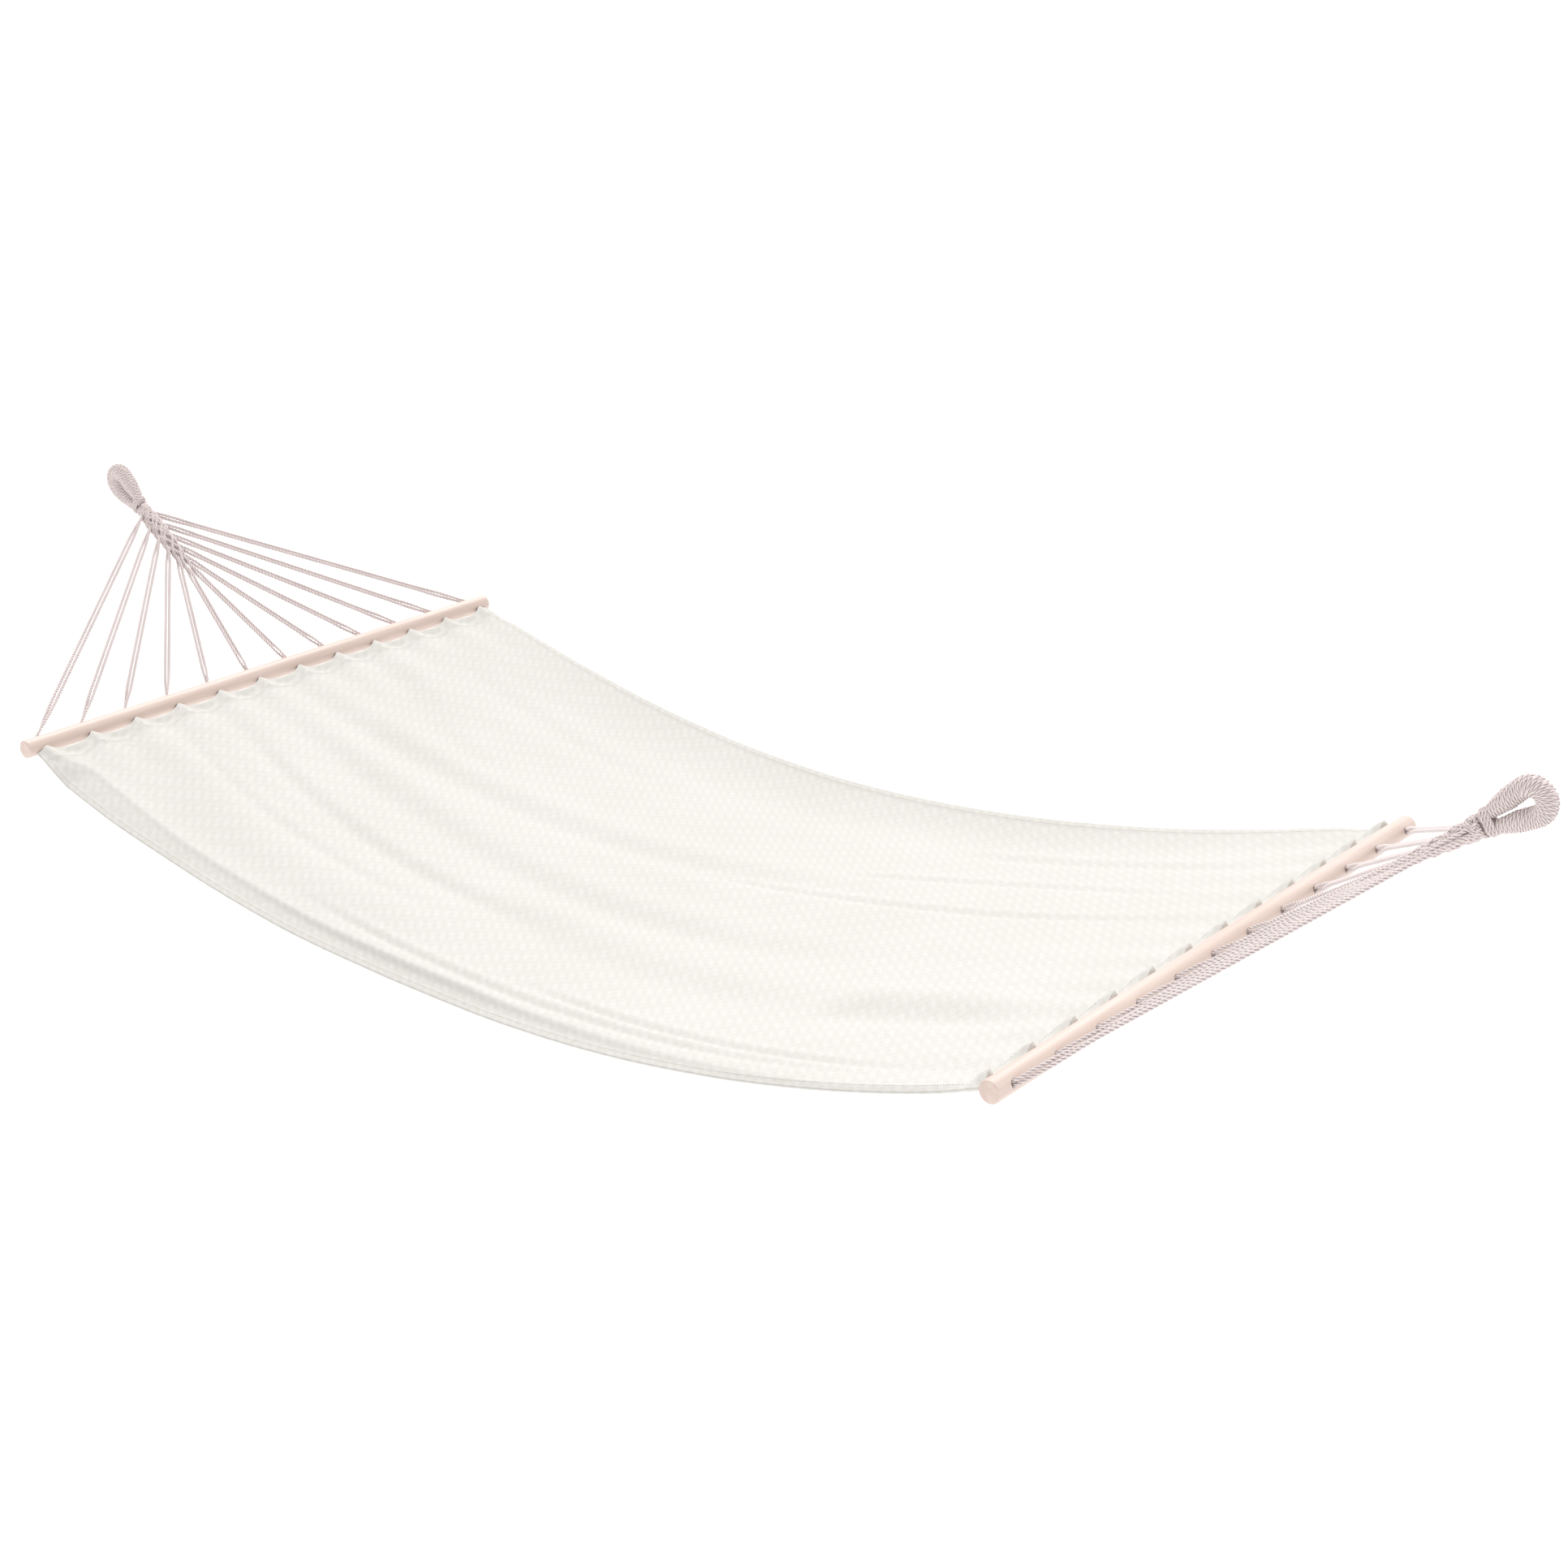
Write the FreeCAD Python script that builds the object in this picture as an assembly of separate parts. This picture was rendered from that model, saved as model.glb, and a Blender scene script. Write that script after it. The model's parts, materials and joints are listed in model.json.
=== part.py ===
"""A hung garden hammock: a cloth bed between two drilled spreader bars, each bar slung from a whipped eye
by a fan of doubled cords.

Millimetres. The origin is where the left hook bears in the left eye. +X runs along the hammock to the right
eye, +Y across it to its far side, +Z up. The left end is built here and the right end is its mirror image.
"""
import FreeCAD, Part

import math
import os

from FreeCAD import Vector

# Overall
bars_apart = 1900.0          # between the two bars' axes
clew_reach = 473.0           # from a bar hole's mouth, along the clew's middle, to where the hook bears
clew_slope = 36.6            # degrees that a hung clew climbs to its hook
cloth_slope = 17.0           # degrees that the cloth falls from a bar; the bar's holes point along it

# Spreader bars
bar_length = 1000.0
bar_r = 15.0
bar_end_round = 3.0
hole_clear = 0.3             # between a bar's hole and the two strands in it
hole_count = 12
hole_end_margin = 30.0       # from the bar's end to the first hole's middle

# Cords
cord_r = 2.6
strand_gap = 0.2             # between the two strands of one doubled cord
fold_gap = 0.3               # between a bar and the cords that fold round it
cord_inset = 1.0             # how far the bights stop short of the bar's outer face
weave_step_in = 12.0         # from the seizing to where the outermost cords leave the weave
weave_half_split = 3.0       # how far beside the middle line each cord enters the weave

# Cloth
cloth_t = 3.0
cloth_end_inset = 13.0       # from each end of a bar to the cloth's edge
near_draw_in = 37.0          # how far its near edge draws in by the middle
far_draw_in = 22.0           # the same for the far edge
near_border = 40.0           # width of the slack border outside the near cords' line of pull
far_border = 55.0
near_droop = 34.0            # how far the near border hangs below that line
far_droop = 8.0
near_sag = 16.0              # how much further the near line of pull sags than the middle of the bed
far_lift = 15.0              # how much less the far one sags
cloth_gap = 0.4              # between a bar and the cloth's end
hem_length = 45.0            # the straight end of the cloth, in line with the holes
scallop_depth = 9.0
scallop_land = 16.0          # width of cloth left at each hole
eyelet_clear = 0.4           # between a cord and the eyelet that it turns through
bight_clear = 0.2            # between a bight and the cloth inside it
bight_flare = 7.0            # length over which the two strands spread from the hole to the cloth's two faces
bight_run = 5.0              # straight run along the cloth before the turn through the eyelet

# Eyes
core_r = 7.5                 # bundle of cords round the eye
whip_t = 5.5                 # whipping wound over it, at the round of the eye
eye_inner_r = 5.5            # round of the eye that the hook bears on
eye_length = 86.0            # from the seizing to the outside of the eye
limb_gap = 0.4               # between the eye's two limbs where they come together
seizing_length = 13.0
seizing_t = 3.0
seizing_clear = 0.1
turn_gap = 0.3               # between the eye and the weave that it turns on
weave_length = 150.0

# Worked out
whip_r = core_r + whip_t
limb_half = core_r + seizing_clear + limb_gap / 2
eye_bend_r = eye_inner_r + whip_r
eye_centre_u = clew_reach - eye_inner_r
seizing_top_u = eye_centre_u + eye_bend_r + whip_r - eye_length
seizing_low_u = seizing_top_u - seizing_length
weave_top_u = seizing_low_u - turn_gap
weave_low_u = weave_top_u - weave_length
strand_half = cord_r + strand_gap / 2
hole_r = strand_half + cord_r + hole_clear
bight_half = cloth_t / 2 + bight_clear + cord_r
across = Vector(0, 1, 0)


def tilted(degrees):
    """Unit vector pointing outwards from the left bar and up by that angle."""
    a = math.radians(degrees)
    return Vector(-math.cos(a), 0, math.sin(a))


def square_to(direction):
    """Unit vector square to a direction in the XZ plane, on its upper side."""
    return Vector(direction.z, 0, -direction.x)


clew_way = tilted(clew_slope)
clew_up = square_to(clew_way)
hole_way = tilted(cloth_slope)
hole_up = square_to(hole_way)
mouth = clew_way * -clew_reach
bar_axis = mouth - hole_way * bar_r
middle_x = bar_axis.x + bars_apart / 2
hole_pitch = (bar_length - 2 * hole_end_margin) / (hole_count - 1)
hole_places = [-bar_length / 2 + hole_end_margin + i * hole_pitch for i in range(hole_count)]


def on_clew(u, n, v=0.0):
    """A point by its place along the clew, above its plane and across it."""
    return mouth + clew_way * u + clew_up * n + across * v


def on_hem(s, t, v=0.0):
    """A point by its distance from the bar's axis along the cloth's end, above its plane and across it."""
    return bar_axis - hole_way * s + hole_up * t + across * v


def rod(start, end, radius):
    way = end - start
    return Part.makeCylinder(radius, way.Length, start, way)


def tube(wire, start, way, radius):
    """A round tube along a wire of tangent lines and arcs."""
    ring = Part.Wire(Part.makeCircle(radius, start, way))
    return wire.makePipeShell([ring], True, False)


def line(a, b):
    return Part.LineSegment(a, b).toShape()


def arc(a, b, c):
    return Part.Arc(a, b, c).toShape()


def rounded_path(points):
    """Straight runs joined by tangent arcs, each as large as its two runs allow."""
    edges = []
    start = points[0]
    for before, corner, after in zip(points, points[1:], points[2:]):
        back = (before - corner).normalize()
        on = (after - corner).normalize()
        turn = math.pi - back.getAngle(on)
        run = min((before - corner).Length, (after - corner).Length)
        reach = 0.45 * run
        radius = reach / math.tan(turn / 2)
        a = corner + back * reach
        c = corner + on * reach
        inwards = (back + on).normalize()
        b = corner + inwards * (radius / math.cos(turn / 2) - radius)
        edges += [line(start, a), arc(a, b, c)]
        start = c
    edges.append(line(start, points[-1]))
    return edges


def bar():
    """A turned rod with rounded ends and a row of holes for the cords."""
    half = across * (bar_length / 2)
    wood = rod(bar_axis - half, bar_axis + half, bar_r)
    ends = [e for e in wood.Edges if e.Closed]
    wood = wood.makeFillet(bar_end_round, ends)
    reach = hole_way * (2 * bar_r)
    holes = [rod(bar_axis + across * v - reach, bar_axis + across * v + reach, hole_r) for v in hole_places]
    return wood.cut(Part.makeCompound(holes))


def bight(v):
    """One cord through its hole, out over the cloth, down through the eyelet and back under it."""
    low_s = cord_inset - bar_r
    flat_s = bar_r + bight_flare
    turn_s = flat_s + bight_run
    top = [on_hem(low_s, strand_half, v), on_hem(bar_r, strand_half, v),
           on_hem(flat_s, bight_half, v), on_hem(turn_s, bight_half, v)]
    under = [on_hem(s, -t, v) for s, t in ((turn_s, bight_half), (flat_s, bight_half),
                                           (bar_r, strand_half), (low_s, strand_half))]
    turn = arc(top[-1], on_hem(turn_s + bight_half, 0, v), under[0])
    wire = Part.Wire(rounded_path(top) + [turn] + rounded_path(under))
    return tube(wire, top[0], hole_way, cord_r)


def weave_entry(v):
    """Where the cord from the hole at v goes into the weave: the outermost cords enter nearest the eye."""
    rank = (bar_length / 2 - hole_end_margin - abs(v)) / hole_pitch
    ranks = hole_count / 2 - 1
    step = (weave_length - 1.5 * weave_step_in) / ranks
    return weave_top_u - weave_step_in - rank * step, math.copysign(weave_half_split, v)


def clew_cord(v, weave_body, bar_room):
    """The two strands of one doubled cord, straight from the bar's hole into the weave."""
    u, split = weave_entry(v)
    strands = []
    for n in (strand_half, -strand_half):
        start = on_clew(0, n, v)
        end = on_clew(u, n, split)
        back = (start - end).normalize() * (hole_r + cord_r)
        strands.append(rod(start + back, end, cord_r).cut(bar_room).cut(weave_body))
    return Part.makeCompound([s for strand in strands for s in strand.Solids])


def oval(u, half_up, half_across):
    """A closed smooth ring round the clew's middle line."""
    corners = 12
    ring = Part.BSplineCurve()
    turns = [2 * math.pi * i / corners for i in range(corners)]
    ring.interpolate(Points=[on_clew(u, half_up * math.cos(a), half_across * math.sin(a)) for a in turns],
                     PeriodicFlag=True)
    return Part.Wire(ring.toShape())


def weave():
    """The woven neck, upright where it leaves the eye and flat where the cords fan out."""
    rings = [oval(weave_top_u, limb_half + core_r, core_r),
             oval(weave_top_u - weave_length * 0.3, core_r * 1.5, core_r * 1.8),
             oval(weave_top_u - weave_length * 0.65, core_r, core_r * 1.8),
             oval(weave_low_u, 2 * cord_r + strand_gap, core_r)]
    return Part.makeLoft(rings, True, False)


def eye_touch():
    """Where a limb meets the eye's round, and how fast the limbs part on their way up to it."""
    far = math.hypot(eye_centre_u - seizing_low_u, limb_half)
    lean = math.atan2(limb_half, seizing_low_u - eye_centre_u) - math.acos(eye_bend_r / far)
    touch_u = eye_centre_u + eye_bend_r * math.cos(lean)
    touch_n = eye_bend_r * math.sin(lean)
    return touch_u, touch_n, (touch_n - limb_half) / (touch_u - seizing_low_u)


def limb_at(u):
    return limb_half + eye_touch()[2] * (u - seizing_low_u)


def eye_bundle(radius, low_u):
    """A round bundle up one limb, round the hook's place and down the other, cut off square to the clew."""
    touch_u, touch_n, spread = eye_touch()
    start_u = low_u - radius * spread
    low, touch = on_clew(start_u, limb_at(start_u)), on_clew(touch_u, touch_n)
    low_2, touch_2 = on_clew(start_u, -limb_at(start_u)), on_clew(touch_u, -touch_n)
    top = on_clew(eye_centre_u + eye_bend_r, 0)
    wire = Part.Wire([line(low, touch), arc(touch, top, touch_2), line(touch_2, low_2)])
    below = rod(on_clew(low_u, 0), on_clew(low_u - 4 * radius, 0), 3 * limb_half)
    return tube(wire, low, touch - low, radius).cut(below)


def whipped_limb(sign, low_u):
    """One whipped limb: it thickens as the limbs part until it is full, and stays full to the eye's round."""
    touch_u, touch_n, spread = eye_touch()
    tilt = math.hypot(1, spread)
    full_u = touch_u - (touch_n - whip_r / tilt - limb_gap / 2) / spread
    start_u = low_u - spread * whip_r
    start, full, touch = [on_clew(u, sign * limb_at(u)) for u in (start_u, full_u, touch_u)]
    cone = Part.makeCone((limb_at(start_u) - limb_gap / 2) * tilt, whip_r, (full - start).Length, start, full - start)
    below = rod(on_clew(low_u, 0), on_clew(low_u - 4 * whip_r, 0), 6 * whip_r)
    return cone.fuse(rod(full, touch, whip_r)).cut(below)


def eye_whipping():
    """Two whipped limbs and the whipped round between them."""
    touch_u, touch_n, spread = eye_touch()
    touch, touch_2 = on_clew(touch_u, touch_n), on_clew(touch_u, -touch_n)
    top = on_clew(eye_centre_u + eye_bend_r, 0)
    way = clew_way + clew_up * spread
    bend = tube(Part.Wire([arc(touch, top, touch_2)]), touch, way, whip_r)
    low_u = seizing_top_u + limb_gap
    whole = bend.fuse([whipped_limb(1, low_u), whipped_limb(-1, low_u)]).removeSplitter()
    return whole.cut(eye_bundle(core_r, seizing_low_u))


def seizing():
    """A band of turns round both limbs, with the turns between them."""
    half = limb_at(seizing_top_u)
    outer = core_r + seizing_t
    low = [on_clew(seizing_low_u, n, v) for n, v in ((half, outer), (-half, outer), (-half, -outer), (half, -outer))]
    top_end = on_clew(seizing_low_u, half + outer)
    low_end = on_clew(seizing_low_u, -half - outer)
    ring = Part.Wire([line(low[0], low[1]), arc(low[1], low_end, low[2]),
                      line(low[2], low[3]), arc(low[3], top_end, low[0])])
    band = Part.Face(ring).extrude(clew_way * seizing_length)
    return band.cut(eye_bundle(core_r + seizing_clear, seizing_low_u - seizing_clear))


def cloth_stations():
    """Places along half the cloth, from the bar to the middle, with how much it has drawn in and drooped there."""
    hem_start = bar_r + cloth_gap
    hem_end = hem_start + hem_length
    flat = [(on_hem(s, 0), hole_up, 0.0, 0.0) for s in (hem_start, hem_start + hem_length / 2, hem_end)]
    last = flat[-1][0]
    bend = math.radians(cloth_slope)
    radius = (middle_x - last.x) / math.sin(bend)
    centre = last + hole_up * radius
    steps = 6
    curved = []
    for i in range(1, steps + 1):
        along = i / steps
        a = bend * (1 - along)
        up = Vector(math.sin(a), 0, math.cos(a))
        curved.append((centre - up * radius, up, math.sin(math.pi / 2 * along), 1 - (1 - along) ** 3))
    return flat + curved


def cloth_rows(drawn, drooped):
    """The cloth's middle surface across the hammock: (distance from the middle, height), near edge first."""
    end_half = bar_length / 2 - cloth_end_inset
    near = end_half - near_draw_in * drawn
    far = end_half - far_draw_in * drawn
    near_line, far_line = near - near_border, far - far_border
    border = [(1.0, 1.0), (0.7, 0.68), (0.35, 0.2), (0.0, 0.0)]
    rows = [(-near_line - near_border * w, -near_sag * drawn - near_droop * drooped * d) for w, d in border]
    rows += [(-near_line / 2, -near_sag / 2 * drawn), (0.0, 0.0), (far_line / 2, far_lift / 2 * drawn)]
    rows += [(far_line + far_border * w, far_lift * drawn - far_droop * drooped * d) for w, d in border[::-1]]
    return rows


def cloth_ring(place, up, drawn, drooped):
    """The cloth's outline across the hammock."""
    rows = cloth_rows(drawn, drooped)

    def row_point(row, lift):
        return place + across * row[0] + up * (row[1] + lift)

    def edge(lift):
        curve = Part.BSplineCurve()
        curve.interpolate([row_point(row, lift) for row in rows])
        return curve.toShape()

    half_t = cloth_t / 2
    sides = [line(row_point(row, half_t), row_point(row, -half_t)) for row in (rows[0], rows[-1])]
    return Part.Wire([sides[0], edge(-half_t), sides[1], edge(half_t)])


def cloth():
    """The bed: one sheet, scalloped and pierced where the cords hold it."""
    half = cloth_stations()
    mirrored = [(Vector(2 * middle_x - p.x, p.y, p.z), Vector(-u.x, u.y, u.z), *shares)
                for p, u, *shares in half[-2::-1]]
    sheet = Part.makeLoft([cloth_ring(*station) for station in half + mirrored], True, False)
    chord = hole_pitch - scallop_land
    radius = chord * chord / 8 / scallop_depth + scallop_depth / 2
    reach = hole_up * (2 * cloth_t)
    cuts = []
    for v, w in zip(hole_places, hole_places[1:]):
        centre = on_hem(bar_r + cloth_gap + scallop_depth - radius, 0, (v + w) / 2)
        cuts.append(rod(centre - reach, centre + reach, radius))
    turn_s = bar_r + bight_flare + bight_run
    turn_in = math.sqrt((bight_half - cord_r) ** 2 - (cloth_t / 2) ** 2) - eyelet_clear
    turn_out = bight_half + cord_r + eyelet_clear
    notch_r = math.hypot(cord_r, cloth_t / 2) + bight_clear
    for v in hole_places:
        centre = on_hem(turn_s + (turn_in + turn_out) / 2, 0, v)
        cuts.append(rod(centre - reach, centre + reach, (turn_out - turn_in) / 2))
        cuts.append(rod(on_hem(bar_r, 0, v), on_hem(bar_r + bight_flare, 0, v), notch_r))
    cuts += [opposite(c) for c in cuts]
    return sheet.cut(Part.makeCompound(cuts))


def opposite(shape):
    return shape.mirror(Vector(middle_x, 0, 0), Vector(1, 0, 0))


def end_pieces():
    """Every piece of the left end, by name."""
    half = across * bar_length
    bar_room = rod(bar_axis - half, bar_axis + half, bar_r + fold_gap)
    neck = weave()
    pieces = {
        "spreader_bar": bar(),
        "cord_bights": Part.makeCompound([bight(v) for v in hole_places]),
        "clew_weave": neck,
        "eye_core": eye_bundle(core_r, seizing_low_u),
        "eye_whipping": eye_whipping(),
        "eye_seizing": seizing(),
    }
    for number, v in enumerate(hole_places, 1):
        pieces[f"clew_cord_{number:02d}"] = clew_cord(v, neck, bar_room)
    return pieces


def main():
    os.makedirs("parts", exist_ok=True)
    nodes = {"bed_cloth": cloth()}
    for name, shape in end_pieces().items():
        nodes["left_" + name] = shape
        nodes["right_" + name] = opposite(shape)
    for name, shape in sorted(nodes.items()):
        shape.exportStep(f"parts/{name}.step")
        print(name, len(shape.Solids), "solids", round(shape.Volume), "mm3", shape.isValid())
    print("hook to hook", round(2 * middle_x, 1), "mm")


main()
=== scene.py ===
# %% [markdown]
# # A cloth hammock between two spreader bars
#
# The hammock hangs open and empty. A sheet of woven cotton is held flat by a wooden bar at each end. From
# each bar twelve doubled cords run up to one point, plait together in a short woven neck, and bend round
# into a whipped eye that a hook goes through.
#
# The frame we load holds every piece as a plain solid at its true size, and says which pieces move
# together. Each cell below takes its sizes from that frame and makes one piece as it looks close up: rope
# with real strands, cloth with hems and folds, wood with grain. Everything is in metres.

# %% Load the frame
import json
import math

import bpy
import numpy as np
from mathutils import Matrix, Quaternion, Vector, noise


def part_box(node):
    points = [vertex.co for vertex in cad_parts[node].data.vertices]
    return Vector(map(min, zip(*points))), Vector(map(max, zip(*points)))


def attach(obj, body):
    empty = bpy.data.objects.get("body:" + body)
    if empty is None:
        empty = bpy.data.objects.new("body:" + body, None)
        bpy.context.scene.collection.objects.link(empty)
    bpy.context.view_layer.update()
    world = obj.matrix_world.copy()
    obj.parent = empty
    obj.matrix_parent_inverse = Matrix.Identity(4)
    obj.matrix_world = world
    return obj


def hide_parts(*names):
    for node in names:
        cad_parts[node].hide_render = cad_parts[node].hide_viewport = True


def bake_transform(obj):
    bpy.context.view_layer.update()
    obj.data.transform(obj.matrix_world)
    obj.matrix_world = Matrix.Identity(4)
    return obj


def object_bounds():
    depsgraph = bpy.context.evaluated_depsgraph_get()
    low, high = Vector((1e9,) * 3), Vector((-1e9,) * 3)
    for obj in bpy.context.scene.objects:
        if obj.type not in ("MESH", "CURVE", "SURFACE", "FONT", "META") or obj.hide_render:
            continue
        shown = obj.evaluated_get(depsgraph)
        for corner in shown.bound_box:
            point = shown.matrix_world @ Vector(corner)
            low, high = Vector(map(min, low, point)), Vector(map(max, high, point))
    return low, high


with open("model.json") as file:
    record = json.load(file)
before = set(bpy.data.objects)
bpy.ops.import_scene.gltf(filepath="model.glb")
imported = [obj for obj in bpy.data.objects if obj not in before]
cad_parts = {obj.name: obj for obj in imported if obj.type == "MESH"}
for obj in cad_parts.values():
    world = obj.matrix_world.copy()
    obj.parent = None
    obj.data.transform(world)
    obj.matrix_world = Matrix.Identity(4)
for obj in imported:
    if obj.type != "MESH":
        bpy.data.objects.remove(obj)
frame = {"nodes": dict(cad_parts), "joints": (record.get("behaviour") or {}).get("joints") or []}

cad_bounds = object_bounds()

# %% [markdown]
# ## Where things are
#
# Both ends are built the same way, so one set of measures serves them. The bar's box gives its middle line
# and its thickness. The eye's joint gives the line of the clew, which is the fan of cords from bar to eye.
# A place at an end is then said in its own terms: so far along the clew, so far above its plane, so far
# across. For the right end the same place is turned about the hammock's middle, so a rope is re-laid there
# rather than mirrored, and its twist keeps the same hand at both ends, as it does when both are cut from
# one coil.

# %% Measures
joints = {joint["name"]: joint for joint in frame["joints"]}
bar_low, bar_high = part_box("left_spreader_bar")
other_low, other_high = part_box("right_spreader_bar")
bar_middle = (bar_low + bar_high) / 2
bar_radius = (bar_high.z - bar_low.z) / 2
bar_half = (bar_high.y - bar_low.y) / 2
middle_x = (bar_middle.x + (other_low.x + other_high.x) / 2) / 2
clew_way = Vector(joints["left_eye_turn"]["axis"])
clew_up = Vector((clew_way.z, 0, -clew_way.x))
seizing_foot = Vector(joints["left_eye_turn"]["pos_m"])
cloth_slope = math.radians(17)
hole_way = Vector((-math.cos(cloth_slope), 0, math.sin(cloth_slope)))
hole_up = Vector((hole_way.z, 0, -hole_way.x))
mouth = bar_middle + hole_way * bar_radius
clew_reach = mouth.length
across = Vector((0, 1, 0))

cord_radius = 0.0026
strand_half = 0.0027          # half the distance between the two strands of a doubled cord
hole_count = 12
turn_clearance = 0.0003       # between the neck and the eye that turns on it
outer_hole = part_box("left_cord_bights")[1].y - cord_radius
hole_pitch = 2 * outer_hole / (hole_count - 1)
hole_places = [-outer_hole + i * hole_pitch for i in range(hole_count)]


def on_clew(u, n, v):
    """A place by its distance up the clew from the bar, above the clew's plane, and across."""
    return mouth + clew_way * u + clew_up * n + across * v


def on_hem(s, t, v):
    """A place by its distance from the bar's middle along the cloth's end, above the cloth, and across."""
    return bar_middle - hole_way * s + hole_up * t + across * v


def at_end(side, points):
    """The same places at the left or the right end, as an array."""
    places = np.array([tuple(p) for p in points], float)
    if side == "right":
        places[:, 0] = 2 * middle_x - places[:, 0]
    return places


bars_apart = 2 * (middle_x - bar_middle.x)
print("bars", round(bars_apart, 3), "m apart; holes every", round(hole_pitch * 1000, 1), "mm")

# %% [markdown]
# ## The camera and the stage
#
# The hammock is seen from above its near right corner: 41 degrees round from its side and 21 degrees down,
# close enough that the near eye looks nearly twice as large as the far one. The floor is a wide pale disc
# well below, and the light is one white sky with one very wide lamp, so shadows are faint and the folds
# still show.

# %% Camera
hang_middle = Vector((middle_x, 0, bar_middle.z))
stand_back = Vector((2.378, -2.466, 1.300))    # from there to the camera
camera = bpy.data.objects.new("camera", bpy.data.cameras.new("camera"))
bpy.context.scene.collection.objects.link(camera)
camera.data.sensor_width = 36
camera.data.lens = 55.86
camera.data.clip_end = 500
camera.location = hang_middle + stand_back
turn_round, look_down, tip_over = math.radians(-41.14), math.radians(20.86), math.radians(-1.78)
view_way = Vector((math.sin(turn_round) * math.cos(look_down), math.cos(turn_round) * math.cos(look_down),
                   -math.sin(look_down)))
camera.rotation_mode = "QUATERNION"
camera.rotation_quaternion = view_way.to_track_quat("-Z", "Y") @ Quaternion((0, 0, 1), tip_over)
bpy.context.scene.camera = camera
print("camera at", [round(c, 3) for c in camera.location])

# %% Floor and light
floor_drop = 1.9              # below the bed's lowest point
floor_radius = 160.0
light_way = Vector((0.30, -0.50, -0.81))


def simple_finish(name, colour, roughness):
    """A finish whose shader is ready for more nodes: (material, tree, shader)."""
    material = bpy.data.materials.new(name)
    material.use_nodes = True
    tree = material.node_tree
    shader = tree.nodes["Principled BSDF"]
    shader.inputs["Base Color"].default_value = (*colour, 1)
    shader.inputs["Roughness"].default_value = roughness
    return material, tree, shader


ring = [(floor_radius * math.cos(a) + middle_x, floor_radius * math.sin(a), cad_bounds[0].z - floor_drop)
        for a in np.linspace(0, 2 * math.pi, 64, endpoint=False)]
floor_mesh = bpy.data.meshes.new("floor")
floor_mesh.from_pydata(ring, [], [range(64)])
floor = bpy.data.objects.new("floor", floor_mesh)
bpy.context.scene.collection.objects.link(floor)
floor_mesh.materials.append(simple_finish("floor_paint", (0.97, 0.97, 0.97), 0.9)[0])

sky = bpy.data.worlds.new("studio")
bpy.context.scene.world = sky
sky.use_nodes = True
sky.node_tree.nodes["Background"].inputs["Color"].default_value = (1, 1, 1, 1)
sky.node_tree.nodes["Background"].inputs["Strength"].default_value = 1.0
lamp = bpy.data.objects.new("wide_lamp", bpy.data.lights.new("wide_lamp", "SUN"))
lamp.data.energy = 1.95
lamp.data.angle = math.radians(28)
lamp.rotation_mode = "QUATERNION"
lamp.rotation_quaternion = light_way.to_track_quat("-Z", "Y")
bpy.context.scene.collection.objects.link(lamp)
bpy.context.scene.view_settings.view_transform = "Standard"
print("floor", round(cad_bounds[0].z - floor_drop, 3), "m from the hooks' level")

# %% [markdown]
# ## Finishes
#
# Four finishes cover the hammock: unbleached cotton cloth, soft cotton cord, the same cord wound tight, and
# pale turned wood. Each is mixed by nodes from patterns in the piece's own space, so that the thread and
# the grain have their true size. The cloth's pattern has to follow the weave wherever the cloth bends, so
# it reads the cloth's flat coordinates, in metres, that are laid on the mesh as it is made. The cords'
# finish reads how far out each point lies on its rope, and paints shade down between the strands by it.

# %% Helpers for finishes
def add(tree, kind, **values):
    """A node with its settings, given by name, and its unlinked inputs, given as in_NAME or in_0."""
    made = tree.nodes.new(kind)
    for name, value in values.items():
        if name.startswith("in_"):
            key = name[3:].replace("_", " ")
            made.inputs[int(key) if key.isdigit() else key].default_value = value
        else:
            setattr(made, name, value)
    return made


def link(tree, source, target):
    tree.links.new(source, target)


def calc(tree, operation, *terms):
    """A sum node: each term is a number or another node's output."""
    made = add(tree, "ShaderNodeMath", operation=operation)
    for i, term in enumerate(terms):
        if isinstance(term, (int, float)):
            made.inputs[i].default_value = term
        else:
            link(tree, term, made.inputs[i])
    return made.outputs[0]


def mixed(tree, share, colour_a, colour_b):
    """A colour between two, by a share from 0 to 1."""
    ramp = add(tree, "ShaderNodeValToRGB")
    ramp.color_ramp.elements[0].color = (*colour_a, 1)
    ramp.color_ramp.elements[1].color = (*colour_b, 1)
    link(tree, share, ramp.inputs[0])
    return ramp.outputs["Color"]


def bumped(tree, shader, height, distance, strength=1.0):
    bump = add(tree, "ShaderNodeBump", in_Strength=strength, in_Distance=distance)
    link(tree, height, bump.inputs["Height"])
    link(tree, bump.outputs["Normal"], shader.inputs["Normal"])


def grain(tree, scale, stretch=(1, 1, 1), detail=4.0):
    """Soft noise in the piece's own space, drawn out along an axis by a small stretch."""
    place = add(tree, "ShaderNodeTexCoord")
    shape = add(tree, "ShaderNodeMapping", in_Scale=stretch)
    made = add(tree, "ShaderNodeTexNoise", in_Scale=scale, in_Detail=detail)
    link(tree, place.outputs["Object"], shape.inputs["Vector"])
    link(tree, shape.outputs["Vector"], made.inputs["Vector"])
    return made.outputs["Fac"]


# %% Cotton cloth
weave_waves = [               # the dotted diamonds, as waves: how many to the metre along, across; strength
    (61.7, 35.3, 1.0), (-43.3, -56.4, 1.0), (18.4, -21.1, 0.5), (61.7, -35.3, 0.5), (-43.3, 56.4, 0.5),
]
thread_repeat = 0.0021        # one thread over and one under
cloth_pale, cloth_dark = (0.766, 0.745, 0.715), (0.644, 0.623, 0.578)


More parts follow.
